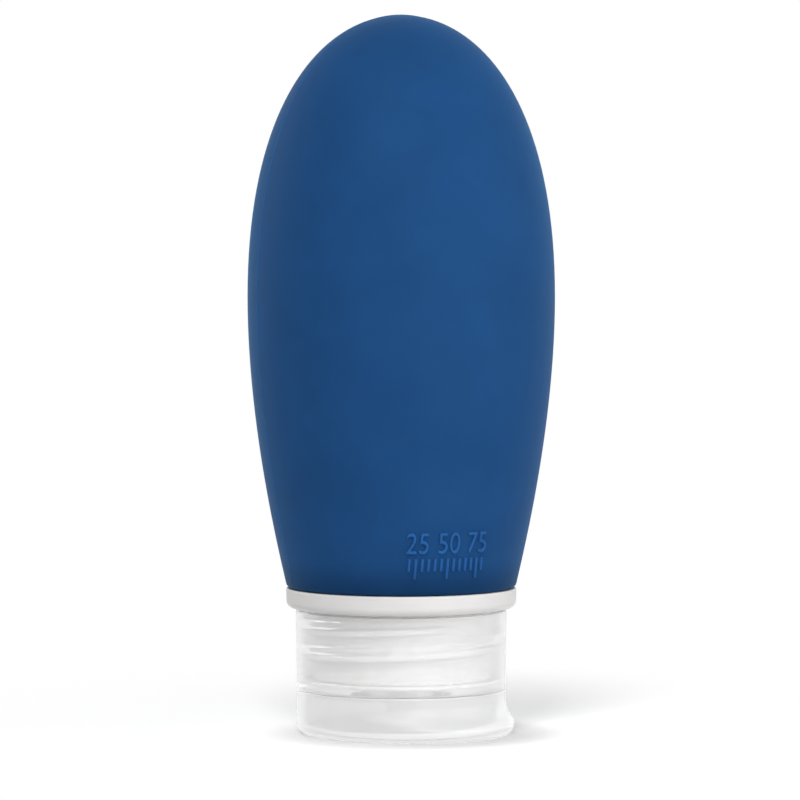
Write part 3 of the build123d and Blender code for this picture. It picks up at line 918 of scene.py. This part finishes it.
class OBJECT_OT_flip_lid(bpy.types.Operator):
    """Makes the clear flip lid with its thumb lip, plug, knuckle and trunnions"""

    bl_idname = "object.flip_lid"
    bl_label = "Flip Lid"

    def execute(self, context):
        cap = context.scene.bottle_cap
        lid = context.scene.bottle_lid
        outer = cap_bore(context.scene.bottle_neck, context.scene.bottle_thread) + cap.wall - lid.inset
        bore = outer - lid.wall
        top = CAP_LOW.z + cap.nozzle_length - lid.gap
        plug = cap.outlet_radius - lid.plug_clearance
        plug_bore = plug - lid.plug_wall
        plug_top = CAP_LOW.z + lid.plug_engagement
        edge = lid.edge
        ring = outer + lid.lip_reach - lid.lip_shift
        cove_top = lid.lip_thickness + lid.lip_cove * sin(acos(1 - lid.lip_reach / lid.lip_cove))

        def reach(angle):
            """Radius of the lid's foot: its own circle or the lip's shifted one, whichever is wider."""
            along = LIP_DIRECTION.x * cos(angle) + LIP_DIRECTION.y * sin(angle)
            shifted = lid.lip_shift * along + sqrt(ring**2 - lid.lip_shift**2 * (1 - along**2))
            return -soft_least(-outer, -shifted, lid.lip_edge / 4)

        def wall_radius(angle, z):
            """Radius of the outer wall, where the cove hollows it out above the lip."""
            drop = min(max((cove_top - z) / lid.lip_cove, 0), 1)
            cove = outer + lid.lip_cove * (1 - sqrt(1 - drop**2))
            return max(soft_least(reach(angle), cove, lid.lip_edge), outer)

        wall_top = top - 2 * edge
        corners = [
            (outer, wall_top, 0), (outer, top, edge), (bore, top, edge), (bore, lid.plate, lid.inner_corner),
            (plug, lid.plate, edge), (plug, plug_top, edge), (plug_bore, plug_top, edge),
            (plug_bore, lid.plate, edge), (0, lid.plate, 0),
        ]
        inner = rounded(corners, closed=False)
        heights = [lid.corner + (wall_top - lid.corner) * row / LIP_ROWS for row in range(LIP_ROWS)]

        def outline_at(angle):
            foot = wall_radius(angle, lid.corner)
            lower = rounded([(0, 0, 0), (foot, 0, lid.corner), (foot, 2 * lid.corner, 0)], closed=False)[:-2]
            return lower + [Vector((wall_radius(angle, z), z)) for z in heights] + inner

        mesh = bmesh.new()
        add_turn(mesh, outline_at, closed=False)
        piece = make_object("clear_flip_lid", mesh)
        half = lid.knuckle_width / 2
        ear_end = half + lid.ear_gap + lid.ear_width
        space = ear_end + lid.ear_gap
        notch = circle(lid.barrel_radius + lid.barrel_clearance)
        shape_hinge(piece, "DIFFERENCE", notch, -space, space)
        root = HINGE_REACH - outer + lid.wall / 2
        web = [(root, -lid.knuckle_drop), (root, -lid.gap / 2)]
        shape_hinge(piece, "UNION", arc(lid.barrel_radius, pi + lid.web_angle) + web, -half, half)
        tip = ear_end - lid.pin_recess
        shape_hinge(piece, "UNION", circle(lid.pin_radius), -tip, tip)
        dress(piece, "lid", "lid_clear", clarified_polypropylene(cap), "flip_lid")
        return {"FINISHED"}


class OBJECT_OT_seals(bpy.types.Operator):
    """Makes the gasket, the cross-slit drip valve and the ring that holds it"""

    bl_idname = "object.bottle_seals"
    bl_label = "Seals and Valve"

    def execute(self, context):
        seals = context.scene.bottle_seals
        soft = natural_silicone(seals.colour)
        edge, corner = seals.edge, seals.retainer_chamfer
        gasket = self.ring("gasket_ring", GASKET_LOW, GASKET_HIGH, seals.gasket_width, edge, edge)
        dress(gasket, "cap", "seal_silicone", soft, "cap_gasket")
        dress(self.make_valve(seals), "cap", "valve_silicone", soft, "drip_valve")
        width = seals.retainer_width
        retainer = self.ring("snap_ring", RETAINER_LOW, RETAINER_HIGH, width, edge / 2, corner)
        hard = moulded_polypropylene("natural_polypropylene", context.scene.bottle_neck.colour)
        dress(retainer, "cap", "retainer_plastic", hard, "valve_retainer")
        return {"FINISHED"}

    def ring(self, name, box_low, box_high, width, edge, corner):
        """A flat ring in its packed box, with its own roundings below and above."""
        outer, low, high = box_high.x, box_low.z, box_high.z
        inner = outer - width
        corners = [(outer, low, edge), (outer, high, corner), (inner, high, corner), (inner, low, edge)]
        return turned(name, corners)

    def make_valve(self, seals):
        """A flange and a thin dome that opens along a cross when the bottle is squeezed."""
        outer = VALVE_HIGH.x
        inner = outer - seals.flange_width
        low = VALVE_LOW.z
        top = low + seals.flange
        base = low + (seals.flange - seals.membrane) / 2
        shares = [step / DOME_STEPS for step in range(DOME_STEPS + 1)]
        dome = [(share * inner, seals.membrane_rise * (1 - share**2)) for share in shares]
        under = [(r, base + rise, 0) for r, rise in dome]
        over = [(r, base + seals.membrane + rise, 0) for r, rise in reversed(dome)]
        edge = seals.edge
        flange = [(inner, low, edge), (outer, low, edge), (outer, top, edge), (inner, top, edge)]
        piece = turned("cross_slit_valve", under + flange + over, closed=False)
        long, thin = seals.slit_length, seals.slit_width
        for x, y in ((long, thin), (thin, long)):
            cutter = bmesh.new()
            shape = Matrix.Diagonal((x, y, 4 * seals.flange, 1))
            bmesh.ops.create_cube(cutter, size=1, matrix=Matrix.Translation((0, 0, top)) @ shape)
            combine(piece, make_object("slit_tool", cutter), "DIFFERENCE")
        return piece


class OBJECT_OT_studio(bpy.types.Operator):
    """Makes the floor, the even white surround, four soft lamps and the camera"""

    bl_idname = "object.bottle_studio"
    bl_label = "Studio"

    def execute(self, context):
        stage = context.scene.bottle_stage
        right = Vector((cos(stage.azimuth), sin(stage.azimuth), 0))
        back = Vector((sin(stage.azimuth), -cos(stage.azimuth), 0))
        up = Vector((0, 0, 1))
        # The floor's painted contact shadow is drawn as if soft light came from above, behind and the left,
        # so it lies in front
        leftward, rearward = 0.45, 0.6
        self.make_floor(stage, up - right * leftward - back * rearward)
        self.light_world(context, stage)
        middle = up * stage.aim_height
        # Each lamp's place from the bottle's middle, in metres towards the camera, to the right and up,
        # then its width and its power
        lamps = (
            ("side_softbox", (0.3, 1.0, 0.1), 0.8, stage.side_power),
            ("front_softbox", (0.78, -0.11, 0.92), 0.25, stage.front_power),
            ("fill_softbox", (1.0, 0.5, 0.1), 0.7, stage.fill_power),
            ("rim_softbox", (-0.45, -0.9, 0.25), 0.5, stage.rim_power),
        )
        for name, (nearer, sideways, upwards), size, power in lamps:
            lamp = bpy.data.lights.new(name, "AREA")
            lamp.size = size
            lamp.energy = power
            place = middle + back * nearer + right * sideways + up * upwards
            self.place_object(context, name, lamp, place, middle)
        # A long lens looks from a little above the bottle's middle
        lens = bpy.data.cameras.new("studio_camera")
        lens.lens = stage.lens
        place = back * stage.distance + up * stage.height
        camera = self.place_object(context, "studio_camera", lens, place, right * stage.aim_shift + middle)
        context.scene.camera = camera
        context.scene.view_settings.view_transform = "Standard"
        return {"FINISHED"}

    def place_object(self, context, name, data, place, target):
        """A lamp or a camera that faces its target."""
        made = bpy.data.objects.new(name, data)
        made.location = place
        made.rotation_euler = (place - target).to_track_quat("Z", "Y").to_euler()
        context.scene.collection.objects.link(made)
        return made

    def make_floor(self, stage, sky):
        """A floor that takes the bottle's shadow, so wide that its edge is never seen."""
        mesh = bmesh.new()
        bmesh.ops.create_circle(mesh, cap_ends=True, segments=96, radius=12.0)
        floor = make_object("studio_floor", mesh)
        floor.data.materials.append(self.white_paper(stage, sky))

    def white_paper(self, stage, sky):
        """Matte uncoated studio paper: it takes soft shadows, carries a painted contact shadow in the glow
        that the camera sees, and reads as white where none falls.
        """
        material, tree, place = new_material("matte_white_paper")
        path = add_node(tree, "LightPath").outputs
        distance = add_node(tree, "VectorMath", {0: place}, operation="LENGTH").outputs["Value"]
        zone = {"Value": distance, "From Min": stage.floor_near, "From Max": stage.floor_far}
        far = add_node(tree, "MapRange", zone, interpolation_type="SMOOTHSTEP")
        paper = add_node(tree, "BsdfDiffuse", {"Color": linear("#F2F2F2")})
        # Painted contact shadow: close to the bottle, occlusion cuts back the camera's glow on the paper,
        # which draws the soft line where the lid stands.
        # The third power keeps that line dark and narrow
        toward = add_node(tree, "CombineXYZ", {"X": sky.x, "Y": sky.y, "Z": sky.z})
        near_things = {"Distance": stage.contact, "Normal": toward}
        open_sky = add_node(tree, "AmbientOcclusion", near_things).outputs["AO"]
        painted_contact_shadow = add_node(tree, "Math", {0: open_sky, 1: 3}, operation="POWER")
        fill = add_node(tree, "Math", {0: path["Is Camera Ray"], 1: stage.floor_fill}, operation="MULTIPLY")
        lift = add_node(tree, "Math", {0: fill, 1: painted_contact_shadow}, operation="MULTIPLY")
        near = add_node(tree, "AddShader", {0: paper, 1: add_node(tree, "Emission", {"Strength": lift})})
        # Far off, through plastic and in reflections, the paper is plain white
        white = add_node(tree, "Emission", {"Strength": self.seen_white(tree, path, stage)})
        share = add_node(tree, "Math", {0: path["Is Camera Ray"], 1: far}, operation="MULTIPLY")
        for ray in ("Is Glossy Ray", "Is Transmission Ray"):
            share = add_node(tree, "Math", {0: share, 1: path[ray]}, operation="MAXIMUM")
        surface = add_node(tree, "MixShader", {0: share, 1: near, 2: white})
        add_node(tree, "OutputMaterial", {"Surface": surface})
        return material

    def seen_white(self, tree, path, stage):
        """White where it is seen straight or through plastic, and a little less in reflections."""
        glossy = {"Value": path["Is Glossy Ray"], "To Min": 1.0, "To Max": stage.reflected}
        return add_node(tree, "MapRange", glossy)

    def light_world(self, context, stage):
        """Plain even light, with a white surround for what is seen."""
        world = bpy.data.worlds.new("white_surround")
        world.use_nodes = True
        tree = world.node_tree
        tree.nodes.clear()
        path = add_node(tree, "LightPath").outputs
        seen = path["Is Camera Ray"]
        for ray in ("Is Glossy Ray", "Is Transmission Ray"):
            seen = add_node(tree, "Math", {0: seen, 1: path[ray]}, operation="MAXIMUM")
        white = linear("#FFFFFF")
        even = add_node(tree, "Background", {"Color": white, "Strength": stage.surround})
        strength = self.seen_white(tree, path, stage)
        shown = add_node(tree, "Background", {"Color": white, "Strength": strength})
        surface = add_node(tree, "MixShader", {0: seen, 1: even, 2: shown})
        add_node(tree, "OutputWorld", {"Surface": surface})
        context.scene.world = world


class VIEW3D_PT_travel_bottle(bpy.types.Panel):
    """Lists the settings and the operators that make each piece"""

    bl_idname = "VIEW3D_PT_travel_bottle"
    bl_label = "Travel Bottle"
    bl_space_type = "VIEW_3D"
    bl_region_type = "UI"
    bl_category = "Bottle"

    def draw(self, context):
        for name, group in SETTINGS.items():
            box = self.layout.box()
            settings = getattr(context.scene, name)
            for setting in group.__annotations__:
                box.prop(settings, setting)
        for operator in OPERATORS:
            self.layout.operator(operator.bl_idname)


SETTINGS = {
    "bottle_settings": BottleSettings,
    "bottle_thread": ThreadSettings,
    "bottle_neck": NeckSettings,
    "bottle_cap": CapSettings,
    "bottle_lid": LidSettings,
    "bottle_seals": SealSettings,
    "bottle_stage": StageSettings,
}
OPERATORS = (
    OBJECT_OT_silicone_bottle,
    OBJECT_OT_parting_line,
    OBJECT_OT_raised_mark,
    OBJECT_OT_neck_insert,
    OBJECT_OT_collar_ring,
    OBJECT_OT_screw_cap,
    OBJECT_OT_flip_lid,
    OBJECT_OT_seals,
    OBJECT_OT_studio,
)


def register():
    """Adds the settings, the operators and the panel to Blender."""
    for name, group in SETTINGS.items():
        bpy.utils.register_class(group)
        setattr(bpy.types.Scene, name, bpy.props.PointerProperty(type=group))
    for made in (*OPERATORS, VIEW3D_PT_travel_bottle):
        bpy.utils.register_class(made)


def unregister():
    """Takes them away again."""
    for made in (VIEW3D_PT_travel_bottle, *reversed(OPERATORS)):
        bpy.utils.unregister_class(made)
    for name, group in reversed(SETTINGS.items()):
        delattr(bpy.types.Scene, name)
        bpy.utils.unregister_class(group)


def main():
    """Makes every piece and the studio."""
    register()
    bpy.ops.object.silicone_bottle()
    bpy.ops.object.parting_line()
    bpy.ops.object.raised_mark()
    bpy.ops.object.neck_insert()
    bpy.ops.object.collar_ring()
    bpy.ops.object.screw_cap()
    bpy.ops.object.flip_lid()
    bpy.ops.object.bottle_seals()
    bpy.ops.object.bottle_studio()


if __name__ == "__main__":
    main()
